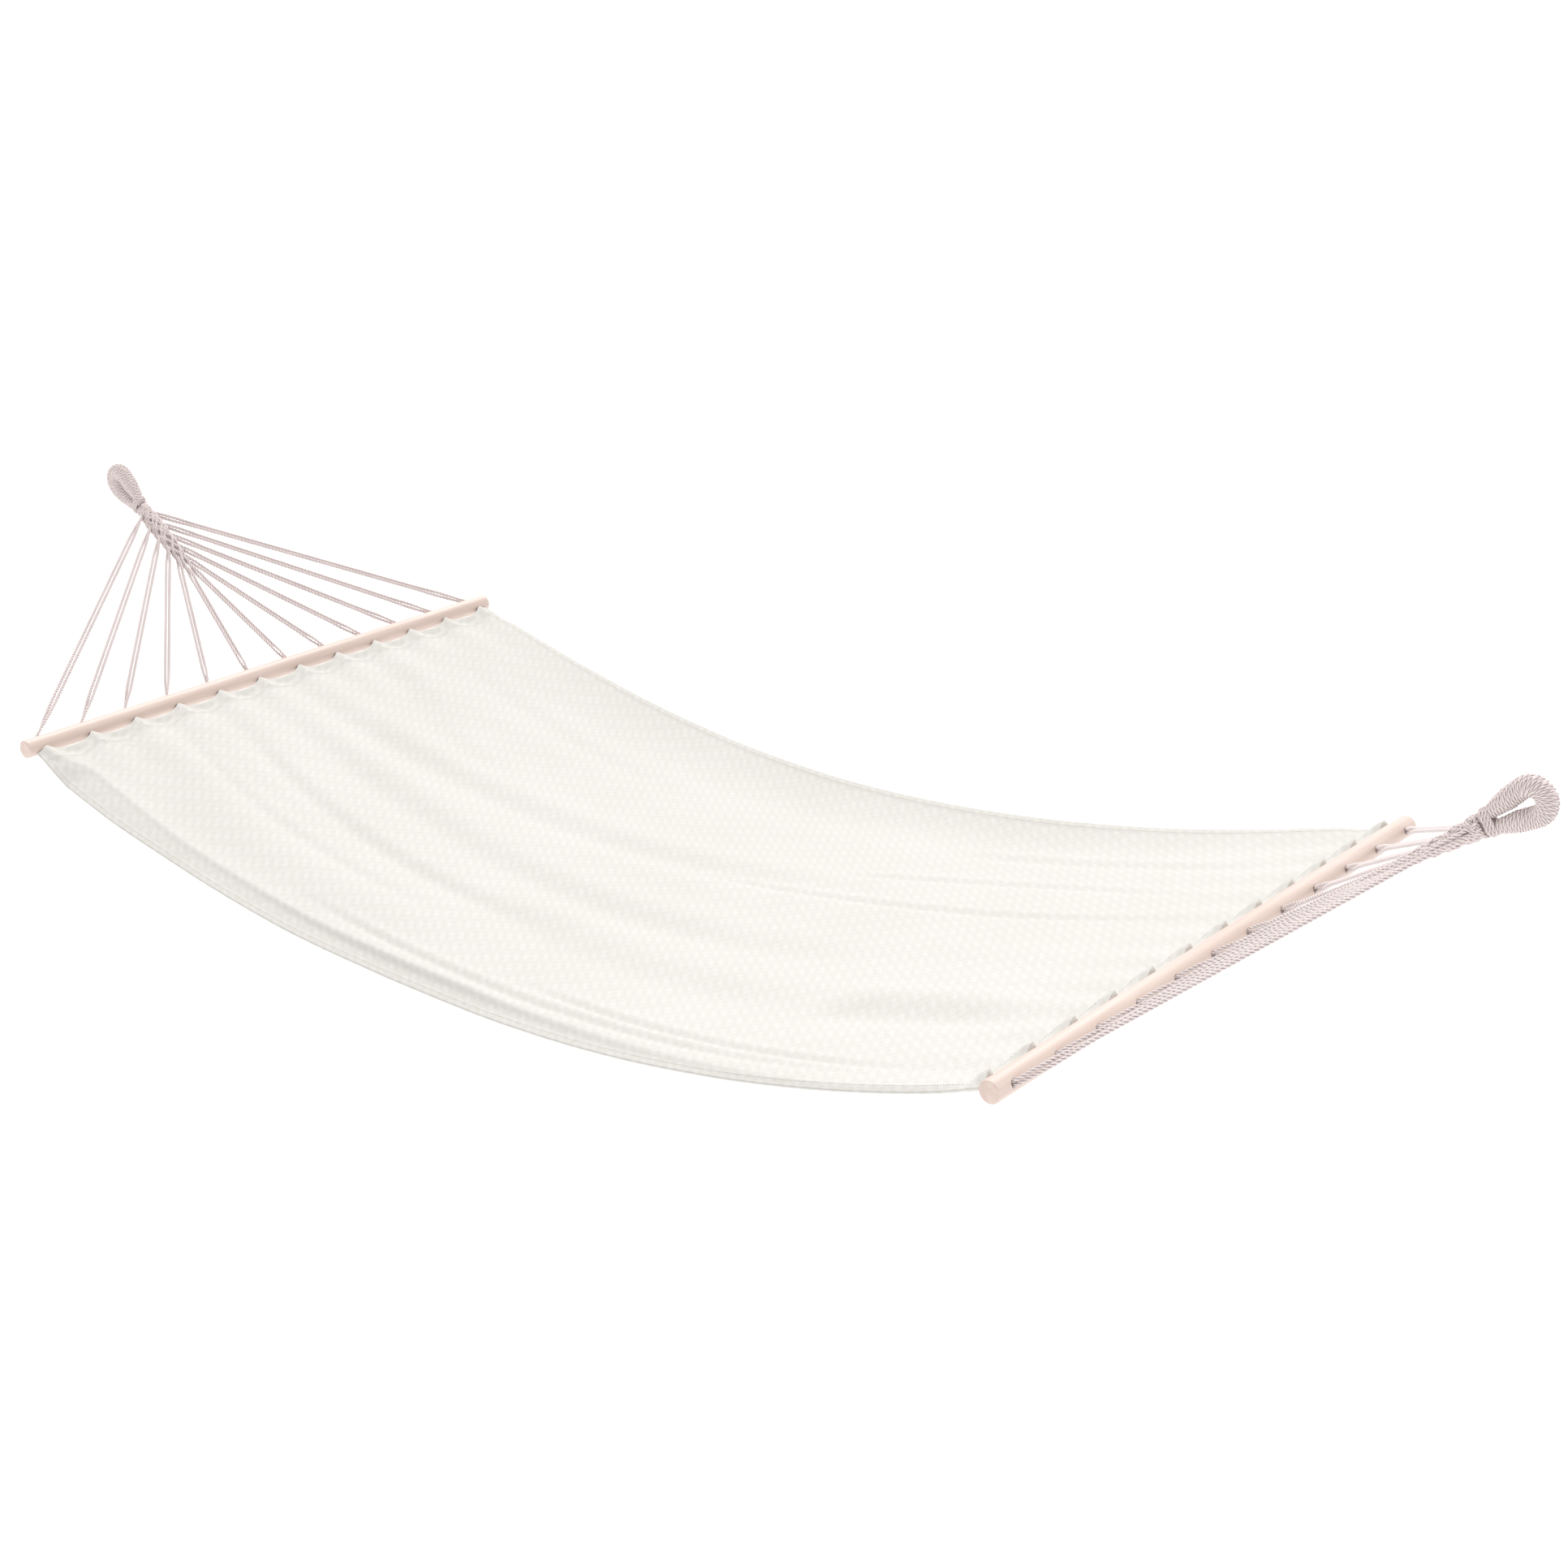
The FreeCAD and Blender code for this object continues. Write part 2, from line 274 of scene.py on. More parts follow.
def cloth_finish():
    material, tree, shader = simple_finish("cotton_cloth", (0.80, 0.78, 0.72), 0.92)
    flat = add(tree, "ShaderNodeUVMap", uv_map="flat_cloth")
    parts = add(tree, "ShaderNodeSeparateXYZ")
    link(tree, flat.outputs["UV"], parts.inputs[0])

    def wave(along, over, strength=1.0):
        turns = calc(tree, "ADD", calc(tree, "MULTIPLY", parts.outputs[1], 2 * math.pi * along),
                     calc(tree, "MULTIPLY", parts.outputs[0], 2 * math.pi * over))
        return calc(tree, "MULTIPLY", calc(tree, "COSINE", turns), strength)

    diamonds = wave(*weave_waves[0])
    for more in weave_waves[1:]:
        diamonds = calc(tree, "ADD", diamonds, wave(*more))
    threads = calc(tree, "MULTIPLY", wave(0, 1 / thread_repeat), wave(1 / thread_repeat, 0))
    slubs = grain(tree, 420, (0.12, 1, 1))
    raised = calc(tree, "ADD", calc(tree, "MULTIPLY", diamonds, 0.12), calc(tree, "MULTIPLY", threads, 0.35))
    height = calc(tree, "ADD", raised, calc(tree, "MULTIPLY", slubs, 0.6))
    bumped(tree, shader, height, 0.0007, 0.9)
    dots = calc(tree, "SUBTRACT", 0.40, calc(tree, "MULTIPLY", diamonds, 0.095))
    tone = calc(tree, "ADD", dots, calc(tree, "MULTIPLY", grain(tree, 5), 0.35))
    share = calc(tree, "ADD", tone, calc(tree, "MULTIPLY", slubs, 0.25))
    link(tree, mixed(tree, share, cloth_pale, cloth_dark), shader.inputs["Base Color"])
    shader.inputs["Sheen Weight"].default_value = 0.15
    shader.inputs["Sheen Roughness"].default_value = 0.6
    return material


cloth_cotton = cloth_finish()
print("cloth finish made of", len(weave_waves), "waves")

# %% Cotton cord and wound cord
def cord_finish(name, pale, shade_and_mottle, fibre):
    """Soft cotton, with painted shade down between a rope's strands; fibre is how fine its fibres are."""
    material, tree, shader = simple_finish(name, pale, 0.85)
    fibres = grain(tree, fibre, detail=6.0)
    patches = grain(tree, 18)
    outward_for_painted_shade = add(tree, "ShaderNodeAttribute", attribute_name="outward_for_painted_shade")
    mottled = calc(tree, "ADD", calc(tree, "MULTIPLY", fibres, 0.35), calc(tree, "MULTIPLY", patches, 0.25))
    # Painted shade: where a point faces in towards the rope's middle, down between the strands, its colour
    # goes towards the second, shaded colour.
    share = calc(tree, "ADD", mottled, calc(tree, "MULTIPLY", outward_for_painted_shade.outputs["Fac"], 0.60))
    link(tree, mixed(tree, calc(tree, "SUBTRACT", share, 0.10), shade_and_mottle, pale), shader.inputs["Base Color"])
    bumped(tree, shader, fibres, 0.0003)
    shader.inputs["Sheen Weight"].default_value = 0.3
    shader.inputs["Sheen Roughness"].default_value = 0.5
    return material


# In each, the first colour is the cotton's own and the second is painted shade for the hollows between
# strands, which the mottling also reaches.
cord_cotton = cord_finish("cotton_cord", (0.950, 0.856, 0.838), (0.450, 0.356, 0.342), 2600)
wound_cotton = cord_finish("wound_cord", (0.960, 0.866, 0.848), (0.430, 0.340, 0.326), 2200)
print("cord finishes:", cord_cotton.name, wound_cotton.name)

# %% Pale wood
wood_dark, wood_pale = (0.610, 0.475, 0.415), (0.715, 0.590, 0.530)


def wood_finish():
    material, tree, shader = simple_finish("pale_wood", (0.84, 0.69, 0.62), 0.45)
    rings = grain(tree, 60, (1, 0.05, 1), 6.0)
    pores = grain(tree, 700, (1, 0.03, 1), 2.0)
    share = calc(tree, "ADD", calc(tree, "MULTIPLY", rings, 0.75), calc(tree, "MULTIPLY", pores, 0.25))
    sharper = add(tree, "ShaderNodeMapRange", in_1=0.35, in_2=0.65)
    link(tree, share, sharper.inputs[0])
    link(tree, mixed(tree, sharper.outputs[0], wood_dark, wood_pale), shader.inputs["Base Color"])
    link(tree, calc(tree, "ADD", calc(tree, "MULTIPLY", pores, 0.25), 0.35), shader.inputs["Roughness"])
    bumped(tree, shader, pores, 0.0002, 0.5)
    return material


pale_wood = wood_finish()
print("wood finish:", pale_wood.name)

# %% [markdown]
# ## Making meshes
#
# Every piece below is worked out as an array of points, so one small function turns such arrays into an
# object. Rope needs a second one. A laid rope is three strands wound round each other, and it can't be had
# from a bump on a round tube: the strands stand out at its edges. So the function walks along the rope's
# line and sets out each strand as a thin tube that winds round that line, once in every lay length. Shade
# is painted on a rope down between its strands, so each of its points is also marked with how far out it
# lies.

# %% Helpers for meshes
def piece(name, points, faces, finish, smooth=True):
    """An object from an array of points and a list of faces."""
    mesh = bpy.data.meshes.new(name)
    mesh.from_pydata([tuple(p) for p in points], [], [tuple(f) for f in faces])
    mesh.materials.append(finish)
    if smooth:
        mesh.shade_smooth()
    made = bpy.data.objects.new(name, mesh)
    bpy.context.scene.collection.objects.link(made)
    return made


def walk(route, step):
    """Even steps along a route: their places, and three directions at each (onwards, sideways, up)."""
    route = np.asarray(route, float)
    runs = np.linalg.norm(np.diff(route, axis=0), axis=1)
    along = np.concatenate([[0], np.cumsum(runs)])
    count = max(2, round(along[-1] / step))
    marks = np.linspace(0, along[-1], count + 1)
    places = np.stack([np.interp(marks, along, route[:, i]) for i in range(3)], 1)
    onwards = np.gradient(places, axis=0)
    onwards /= np.linalg.norm(onwards, axis=1)[:, None]
    side = np.cross(onwards[0], (0.0, 0.0, 1.0))
    if np.linalg.norm(side) < 0.1:
        side = np.cross(onwards[0], (0.0, 1.0, 0.0))
    sides = []
    for way in onwards:
        side = side - way * (side @ way)
        side /= np.linalg.norm(side)
        sides.append(side)
    sides = np.array(sides)
    return marks, places, onwards, sides, np.cross(onwards, sides)


def tube(places, onwards, outwards, radius, corners):
    """Rings of points along a line, with the faces between them and at both ends."""
    third = np.cross(onwards, outwards)
    angles = np.linspace(0, 2 * math.pi, corners, endpoint=False)
    cosines, sines = np.cos(angles)[None, :, None], np.sin(angles)[None, :, None]
    spokes = outwards[:, None] * cosines + third[:, None] * sines
    points = (places[:, None] + np.reshape(radius, (-1, 1, 1)) * spokes).reshape(-1, 3)
    faces = [(i * corners + j, i * corners + (j + 1) % corners,
              (i + 1) * corners + (j + 1) % corners, (i + 1) * corners + j)
             for i in range(len(places) - 1) for j in range(corners)]
    last = (len(places) - 1) * corners
    faces += [tuple(range(corners))[::-1], tuple(range(last, last + corners))]
    return points, faces


def rope(route, radius, lay, strands=3, corners=6, steps_in_lay=8, turn=0.0):
    """A laid rope along a route, as the points and faces of its strands; its radius may change along it."""
    marks, places, onwards, sides, ups = walk(route, lay / steps_in_lay)
    radius = np.broadcast_to(radius(marks) if callable(radius) else radius, marks.shape)
    strand = radius / (1 + 1 / math.sin(math.pi / strands)) * 0.98
    offset = radius - strand
    meshes = []
    for k in range(strands):
        angle = 2 * math.pi * (marks / lay + k / strands) + turn
        outwards = sides * np.cos(angle)[:, None] + ups * np.sin(angle)[:, None]
        line = places + outwards * offset[:, None]
        ways = np.gradient(line, axis=0)
        ways /= np.linalg.norm(ways, axis=1)[:, None]
        square = outwards - ways * np.sum(outwards * ways, axis=1)[:, None]
        square /= np.linalg.norm(square, axis=1)[:, None]
        meshes.append(tube(line, ways, square, strand, corners))
    return gathered(meshes)


def mark_painted_groove_shade(rope_piece, corners=6):
    """Each point of a rope's strands gets a number for its finish's painted shade: 1 facing away from the
    rope's middle, 0 facing in.
    """
    layer = rope_piece.data.attributes.new("outward_for_painted_shade", "FLOAT", "POINT")
    turn = 2 * math.pi * np.arange(len(rope_piece.data.vertices)) / corners
    layer.data.foreach_set("value", (0.5 + 0.5 * np.cos(turn)).astype(np.float32))


def gathered(meshes):
    """Several (points, faces) as one."""
    points, faces, used = [], [], 0
    for more_points, more_faces in meshes:
        points.append(more_points)
        faces += [tuple(index + used for index in face) for face in more_faces]
        used += len(more_points)
    return np.concatenate(points), faces


def eased(route, reach, step=0.001):
    """A route with its corners rounded off over that reach, its ends where they were."""
    places = walk(route, step)[1]
    half = max(1, round(reach / step / 2))
    before = 2 * places[0] - places[half:0:-1]
    after = 2 * places[-1] - places[-2:-half - 2:-1]
    padded = np.concatenate([before, places, after])
    window = np.hanning(2 * half + 3)[1:-1]
    window /= window.sum()
    return np.stack([np.convolve(padded[:, i], window, "valid") for i in range(3)], 1)


print("helpers ready")

# %% [markdown]
# ## The spreader bars
#
# A bar is a turned rod with softened ends and a row of twelve holes. The frame's own solid already has
# exactly that shape, so it stays, and only takes the wood finish. Its grain runs along it, because such
# rods are cut that way.

# %% Spreader bars
for side in ("left", "right"):
    bar = frame["nodes"][side + "_spreader_bar"]
    bar.data.materials.clear()
    bar.data.materials.append(pale_wood)
    print(bar.name, "length", round(2 * bar_half, 3))

# %% [markdown]
# ## The bed cloth
#
# The bed is one sheet of cotton. At each end its edge is scalloped: the cords pull a point of cloth up to
# the bar, and between two cords the edge hangs back. In the middle it sags a little. Its two long edges
# carry no cord: the near one hangs down as a slack border, and the far one is drawn up a little. A few long
# soft folds run from the cords' points, where the pull is uneven.
#
# A cloth simulation would find such a shape, but not these folds. So the sheet is worked out as a grid: for
# each row across the cloth, one function says where it lies once it hangs, and the folds are added to that.
# The grid then gets two faces a cloth's thickness apart, thicker at the hems, where the cloth is folded
# over and sewn.

# %% The cloth's line from bar to bar
hem_straight = 0.0604         # from the bar's middle to where the cloth starts to curve
curve_start = bar_middle - hole_way * hem_straight
curve_radius = (middle_x - curve_start.x) / math.sin(cloth_slope)
curve_centre = curve_start + hole_up * curve_radius
half_line = hem_straight + curve_radius * cloth_slope


def along_line(d):
    """Places on the cloth's middle line and which way is up, by distance from the left bar's middle."""
    near = np.minimum(d, 2 * half_line - d)
    lean = cloth_slope - np.clip((near - hem_straight) / curve_radius, 0, None)
    on_curve = near > hem_straight
    x = np.where(on_curve, curve_centre.x - curve_radius * np.sin(lean), bar_middle.x - hole_way.x * near)
    z = np.where(on_curve, curve_centre.z - curve_radius * np.cos(lean), bar_middle.z - hole_way.z * near)
    turned = d > half_line
    places = np.stack([np.where(turned, 2 * middle_x - x, x), np.zeros_like(x), z], -1)
    ups = np.stack([np.where(turned, -np.sin(lean), np.sin(lean)), np.zeros_like(x), np.cos(lean)], -1)
    return places, ups


print("cloth from bar to bar:", round(2 * half_line, 3), "m")

# %% Rows and columns of the flat cloth
half_flat = 0.4875            # half the width it was cut to
end_gap = 0.0012              # from the bar to a point of cloth
scallop_back = 0.0105         # how far the end edge hangs back between two cords

gaps = [np.linspace(a, b, 26 if i == 0 else 20 if i == hole_count - 2 else 14, endpoint=False)
        for i, (a, b) in enumerate(zip(hole_places, hole_places[1:]))]
columns = np.concatenate([np.linspace(-half_flat, -outer_hole, 7, endpoint=False), *gaps,
                          np.linspace(outer_hole, half_flat, 7)])
# Rows lie close together near an end, and closest over the edge of its hem.
end_steps = [0, 0.0008, 0.003, 0.007, 0.011, 0.015, 0.019, 0.023,
             0.0255, 0.0270, 0.0285, 0.032, 0.038, 0.046, 0.055]
shares = np.array(end_steps) / (2 * half_line)
middle_shares = np.linspace(shares[-1], 1 - shares[-1], 200)[1:-1]
shares = np.concatenate([shares, middle_shares, 1 - shares[::-1]])


def scallop(f):
    """How far the end edge lies from the bar's middle: least at each cord, most half way between two."""
    spot = ((f + outer_hole) / hole_pitch) % 1.0
    hollow = np.clip(1 - np.abs(spot - 0.5) * 2, 0, 1)
    shape = np.sin(math.pi / 2 * np.clip(hollow * 1.15 - 0.05, 0, 1)) ** 0.8
    return bar_radius + end_gap + np.where(np.abs(f) < outer_hole, scallop_back * shape, 0.0)


ends = scallop(columns)
distance = ends[None, :] + (2 * half_line - 2 * ends[None, :]) * shares[:, None]
to_bar = np.minimum(distance, 2 * half_line - distance)
print("cloth grid:", len(shares), "rows of", len(columns))

# %% Hanging the rows
# The borders, at these places along the hammock from its middle: how wide each is, and where across the
# hammock the near one turns down.
border_at = [-0.95, -0.92, -0.88, -0.76, -0.64, -0.45, -0.20, 0.00, 0.25, 0.49, 0.71, 0.95]
near_width = [0.0175, 0.036, 0.054, 0.052, 0.044, 0.042, 0.038, 0.036, 0.029, 0.020, 0.0125, 0.0125]
near_line = [0.4700, 0.4530, 0.4350, 0.4360, 0.4400, 0.4350, 0.4310, 0.4320, 0.4460, 0.4635, 0.4780, 0.4750]
near_turn = 29.0              # degrees that the near border hangs down
near_sag = -0.016             # how far the line where it turns down lies below the bed's middle
far_width = [0.15, 0.15, 0.145, 0.140, 0.135, 0.13, 0.125, 0.12, 0.11, 0.10, 0.095, 0.090]
far_draw_in, far_sag = 0.0250, -0.016
far_rise = 0.024              # how far the far border is pulled up, towards its edge
far_shrink = 0.022            # how much narrower it looks once it is curved
flat_end = 0.06               # from a bar's middle to where the borders begin to leave the flat
run_share = 0.985             # how far a step along the sagging cloth takes us along the hammock
border_fine = np.linspace(0, 0.058, 59)


def smooth(t):
    t = np.clip(t, 0, 1)
    return t * t * (3 - 2 * t)


def hung_row(d):
    """For one row: where each column lies across the hammock, and how far above the cloth's middle line."""
    away = min(d, 2 * half_line - d) - bar_radius
    share = math.sin(math.pi * min(max((d - flat_end) / (2 * half_line - 2 * flat_end), 0), 1))
    place = (d - half_line) * run_share
    slack = 0.35 + 0.65 * smooth(away / 0.06)
    width = np.interp(place, border_at, near_width)
    line_flat, line_y = half_flat - width, np.interp(place, border_at, near_line)
    crease = 0.35 + 1.0 * math.exp(-((place + 0.12) / 0.36) ** 2)
    bend = smooth(border_fine / 0.004) * (1 + crease * np.exp(-((border_fine - 0.0065) / 0.0055) ** 2))
    angle = np.radians(near_turn * slack * bend)
    out = np.concatenate([[0], np.cumsum(np.cos(angle[:-1]) * border_fine[1])])
    down = np.concatenate([[0], np.cumsum(np.sin(angle[:-1]) * border_fine[1])])
    beyond = np.clip(-columns - line_flat, 0, None)
    inner = np.clip(-columns / line_flat, 0, 1)
    near_y = -(inner * line_y + np.interp(beyond, border_fine, out))
    near_h = inner * near_sag * share - np.interp(beyond, border_fine, down)
    width = np.interp(place, border_at, far_width)
    far_flat = half_flat - width
    beyond = np.clip(columns - far_flat, 0, None)
    inner = np.clip(columns / far_flat, 0, 1)
    far_y = inner * (far_flat - far_draw_in * share) + beyond * (1 - far_shrink * share)
    far_h = inner ** 1.5 * far_sag * share + far_rise * share ** 0.5 * (beyond / width) ** 2
    return np.where(columns < 0, near_y, far_y), np.where(columns < 0, near_h, far_h)


rows = [hung_row(2 * half_line * share) for share in shares]
cloth_y = np.array([row[0] for row in rows])
cloth_height = np.array([row[1] for row in rows])
print("near edge hangs", round(-cloth_height[len(rows) // 2, 0] * 1000), "mm below the bed's middle")

# %% Folds, droops and wrinkles
folds = [                     # places (x, y) along it, from the middle; half width; depth
    ([(-0.90, 0.046), (-0.77, 0.011), (-0.48, 0.030), (-0.12, 0.067), (0.26, 0.113), (0.36, 0.141)],
     0.033, 0.0066),
    ([(-0.89, 0.223), (-0.65, 0.132), (-0.44, 0.093)], 0.030, 0.0034),
    ([(-0.87, -0.042), (-0.74, -0.067), (-0.43, -0.096), (-0.06, -0.122), (0.24, -0.128), (0.53, -0.084)],
     0.031, 0.0058),
    ([(-0.86, -0.144), (-0.72, -0.185), (-0.39, -0.221), (-0.01, -0.228)], 0.017, 0.0046),
    ([(-0.90, -0.240), (-0.72, -0.275), (-0.42, -0.300), (-0.15, -0.290)], 0.013, 0.0028),
    ([(-0.92, -0.330), (-0.74, -0.375), (-0.39, -0.385), (-0.05, -0.360)], 0.050, 0.0070),
    ([(-0.89, 0.330), (-0.60, 0.300), (-0.20, 0.270)], 0.024, 0.0030),
    ([(0.01, 0.041), (0.25, 0.059), (0.53, 0.105), (0.90, 0.111)], 0.009, 0.0030),
    ([(0.18, 0.148), (0.39, 0.211), (0.60, 0.235), (0.86, 0.190)], 0.010, 0.0030),
    ([(-0.20, -0.215), (0.20, -0.255), (0.56, -0.262)], 0.035, 0.0040),
    ([(0.50, -0.262), (0.68, -0.240), (0.86, -0.255)], 0.036, 0.0100),
    ([(0.07, -0.380), (0.30, -0.400), (0.64, -0.415), (0.84, -0.425)], 0.008, 0.0034),
    ([(-0.40, -0.400), (0.00, -0.405), (0.45, -0.435), (0.80, -0.445)], 0.008, 0.0038),
    ([(0.30, 0.330), (0.60, 0.345), (0.88, 0.330)], 0.014, 0.0030),
]


def fold_depth(x, y):
    """How far the folds press the cloth down: shallow valleys with a low ridge at each side."""
    depth = np.zeros_like(x)
    for places, half_width, deepest in folds:
        xs, ys = np.array(places).T
        line = np.polyval(np.polyfit(xs, ys, 2), x)
        t = (x - xs[0]) / (xs[-1] - xs[0])
        fade = smooth((t + 0.04) / 0.22) * smooth((1.04 - t) / 0.40)
        q = (y - line) / half_width + 0.7
        ridges = 0.6 * np.exp(-(q - 1.7) ** 2) + 0.15 * np.exp(-(q + 2) ** 2 / 3)
        depth += 0.9 * deepest * fade * (np.exp(-q * q) - ridges)
    return depth


droops = [(0.0055, 0.07), (0.0015, 0.3)]       # how deep; how far from the bar it falls to about a third


def droop(f, away):
    """Between the cords the cloth hangs lower, and less with each step away from the bar."""
    wave = 0.5 - 0.5 * np.cos(2 * math.pi * (f + outer_hole) / hole_pitch)
    inside = smooth((outer_hole + 0.015 - np.abs(f)) / 0.03)
    depth = sum(deep * np.exp(-away / reach) for deep, reach in droops)
    return inside * wave * smooth(away / 0.012) * depth


def wrinkle(x, y):
    """Small uneven waves, longer along the cloth than across it."""
    broad = noise.noise(Vector((x * 1.8, y * 8.0, 3.7)))
    return 0.0026 * broad + 0.0006 * noise.noise(Vector((x * 7.0, y * 24.0, 8.1)))


line_places, line_ups = along_line(distance)
cloth_x = line_places[..., 0] - middle_x
away = to_bar - ends[None, :]
waves = np.array([[wrinkle(x, y) for x, y in zip(*row)] for row in zip(cloth_x, cloth_y)])
off = cloth_height - fold_depth(cloth_x, cloth_y) * smooth(away / 0.05)
off = off - droop(columns[None, :], away) + waves * smooth(away / 0.12)
middle_sheet = line_places + line_ups * off[..., None]
middle_sheet[..., 1] = cloth_y
print(len(folds), "folds laid in the cloth")

# %% Two faces, hems and pockets
cloth_half = 0.0011           # half the cloth's thickness
end_hem, side_hem = 0.0262, 0.012
hem_extra = 0.0008            # how much a hem adds to each face
pocket_half = 0.0052          # how far each face stands off where a cord's loop lies inside the hem

rows_way = np.gradient(middle_sheet, axis=0)
columns_way = np.gradient(middle_sheet, axis=1)
normals = np.cross(rows_way, columns_way)
normals /= np.linalg.norm(normals, axis=-1)[..., None]

tip_rise = {"left": 0.0015, "right": 0.0100}       # how far the points of cloth stand up against the bar
tip_reach = 0.040             # how far from the bar that lift is felt
tip_half, pocket_width = 0.011, 0.0075             # half widths of a lifted point and of a cord's pocket
by_cord = np.min(np.abs(columns[:, None] - np.array(hole_places)[None, :]), axis=1)[None, :]
lift = np.where(distance < half_line, tip_rise["left"], tip_rise["right"])
lift = lift * np.exp(-(by_cord / tip_half) ** 2) * smooth((tip_reach - away) / tip_reach) ** 1.5
middle_sheet += line_ups * lift[..., None]

in_end_hem = smooth((end_hem - away) / 0.0015 + 0.5)
in_side_hem = smooth((side_hem - (half_flat - np.abs(columns[None, :]))) / 0.0015 + 0.5)
pocket = pocket_half * np.exp(-(by_cord / pocket_width) ** 2) * smooth((0.034 - away) / 0.020)
stand_off = cloth_half + hem_extra * np.maximum(in_end_hem, in_side_hem) + pocket
top_face = middle_sheet + normals * stand_off[..., None]
low_face = middle_sheet - normals * stand_off[..., None]

rows_n, columns_n = distance.shape
index = np.arange(rows_n * columns_n).reshape(rows_n, columns_n)
quads = np.stack([index[:-1, :-1], index[1:, :-1], index[1:, 1:], index[:-1, 1:]], -1).reshape(-1, 4)
rim = np.concatenate([index[:-1, 0], index[-1, :-1], index[:0:-1, -1], index[0, :0:-1]])
size = index.size
faces = [tuple(q) for q in quads] + [tuple(q[::-1] + size) for q in quads]
faces += [(a, a + size, b + size, b) for a, b in zip(rim, np.roll(rim, -1))]
bed_cloth = piece("bed_sheet", np.concatenate([top_face.reshape(-1, 3), low_face.reshape(-1, 3)]), faces,
                  cloth_cotton)
flat_places = np.stack([np.broadcast_to(columns[None, :], distance.shape), distance], -1).reshape(-1, 2)
flat_places = np.concatenate([flat_places, flat_places])
flat_layer = bed_cloth.data.uv_layers.new(name="flat_cloth")
corners = np.zeros(len(bed_cloth.data.loops), int)
bed_cloth.data.loops.foreach_get("vertex_index", corners)
flat_layer.data.foreach_set("uv", flat_places[corners].ravel())
print("cloth faces:", len(faces))

# %% [markdown]
# ## The hems' stitches
#
# The hems are sewn with plain running stitches in cotton thread. Each visible stitch is a short bead of
# thread that dips into the cloth at both ends. They are real meshes rather than a pattern, laid by looking
# up places on the cloth's top and lower faces, so they follow every fold.

# %% Stitches
stitch_length = 0.0034
stitch_space = 0.0048
stitch_radius = 0.00042
stitch_rise = 0.00025         # how far a stitch's middle stands off the cloth
seam_inset = 0.003            # from a hem's edge back to its seam


def on_face(face, f, share):
    """A place on a face of the cloth, by its flat place across and its share of the way along."""
    row = np.interp(share, shares, np.arange(rows_n))
    column = np.interp(f, columns, np.arange(columns_n))
    i, j = min(int(row), rows_n - 2), min(int(column), columns_n - 2)
    a, b = row - i, column - j
    return ((face[i, j] * (1 - a) + face[i + 1, j] * a) * (1 - b)
            + (face[i, j + 1] * (1 - a) + face[i + 1, j + 1] * a) * b)


def stitch(start, end, lift):
    """A bead of thread between two places, its ends sunk in the cloth."""
    places = np.stack([start, start * 0.75 + end * 0.25, start * 0.25 + end * 0.75, end])
    places[1:3] += lift * stitch_rise
    way = (end - start) / np.linalg.norm(end - start)
    outwards = lift - way * (lift @ way)
    outwards /= np.linalg.norm(outwards)
    shape = np.array([0.35, 1.0, 1.0, 0.35]) * stitch_radius
    return tube(places, np.tile(way, (4, 1)), np.tile(outwards, (4, 1)), shape, 5)


def stitch_rows(face, sign):
    beads = []
    seam = (end_hem - seam_inset) / (2 * half_line)
    for share in (seam, 1 - seam):
        for f in np.arange(-half_flat + 0.004, half_flat - 0.006, stitch_space):
            a, b = on_face(face, f, share), on_face(face, f + stitch_length, share)
            beads.append(stitch(a, b, sign * normals[3 if share < 0.5 else -4, np.searchsorted(columns, f)]))
    for f in (-half_flat + side_hem - 0.0025, half_flat - side_hem + 0.0025):
        column = min(np.searchsorted(columns, f), columns_n - 1)
        for d in np.arange(0.03, 2 * half_line - 0.035, stitch_space):
            share = d / (2 * half_line)
            row = min(np.searchsorted(shares, share), rows_n - 1)
            a, b = on_face(face, f, share), on_face(face, f, share + stitch_length / (2 * half_line))
            beads.append(stitch(a, b, sign * normals[row, column]))
    return beads


beads = stitch_rows(top_face, 1.0) + stitch_rows(low_face, -1.0)
hem_stitches = piece("hem_stitches", *gathered(beads), cloth_cotton)
for made in (bed_cloth, hem_stitches):
    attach(made, "bed")
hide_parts("bed_cloth")

# %% [markdown]
# ## The cords' loops in the hem
#
# Each cord goes through its hole in the bar, round inside the cloth's hem, and back through the same hole.
# Little of that shows, but it is what holds the cloth, so it is made: twelve ropes an end, each on a short
# bent line.

# %% Loops in the hem
cord_lay = 0.0190             # length in which a cord's strands go once round
flare_s, turn_s = bar_radius + 0.007, bar_radius + 0.012
loop_half = 0.0043


def loop_route(v):
    upper = [(0.001 - bar_radius, strand_half), (bar_radius, strand_half),
             (flare_s, loop_half), (turn_s, loop_half)]
    turn = [(turn_s + loop_half * math.sin(a), loop_half * math.cos(a))
            for a in np.linspace(0.3, math.pi - 0.3, 7)]
    return [on_hem(s, t, v) for s, t in upper + turn + [(s, -t) for s, t in upper[::-1]]]


for side in ("left", "right"):
    loops = [rope(eased(at_end(side, loop_route(v)), 0.004), cord_radius, cord_lay) for v in hole_places]
    made = piece(side + "_hem_loops", *gathered(loops), cord_cotton)
    mark_painted_groove_shade(made)
    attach(made, "bed")
    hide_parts(side + "_cord_bights")
print("hem loops made")
